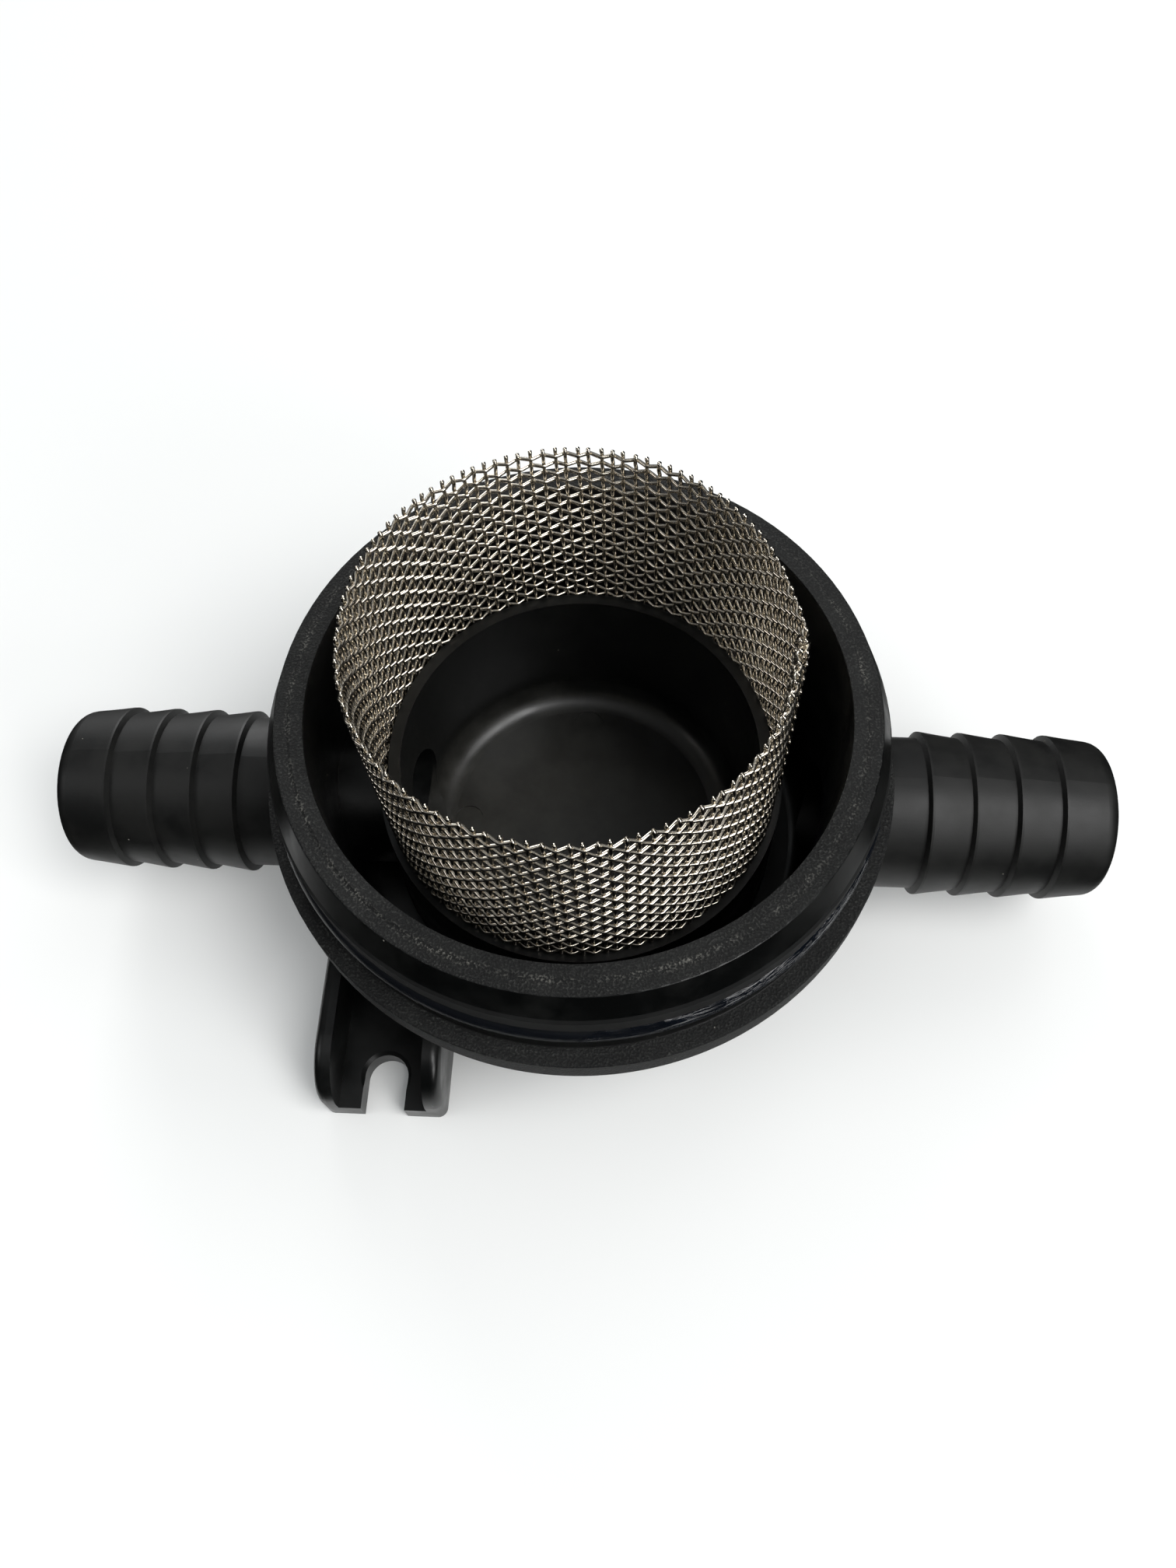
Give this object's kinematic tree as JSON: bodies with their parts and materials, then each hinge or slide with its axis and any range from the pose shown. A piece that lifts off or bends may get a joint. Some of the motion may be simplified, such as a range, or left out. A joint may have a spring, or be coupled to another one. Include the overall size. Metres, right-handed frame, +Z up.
{
  "type": "sea water strainer",
  "caption": "Open round strainer bowl with opposed hose barbs, O-ring spigot, slotted mounting feet and a removable woven wire screen.",
  "frame": {"origin": "on the bowl's axis, level with the undersides of the mounting feet", "axes": "+Z up along the bowl's axis towards the open rim, +X along the outlet hose barb, -X along the inlet hose barb, -Y towards the foot beside the inlet"},
  "size_m": [0.169, 0.0978, 0.0723],
  "materials": {
    "moulding": "black glass-filled nylon, spark-eroded on the rim and flange",
    "wire_cloth": "bright stainless wire with a warm cast",
    "o_ring": "greased black nitrile"
  },
  "bodies": {
    "root": {"strainer_body": "moulding", "cover_o_ring": "o_ring", "mesh_screen": "wire_cloth"}
  },
  "joints": []
}
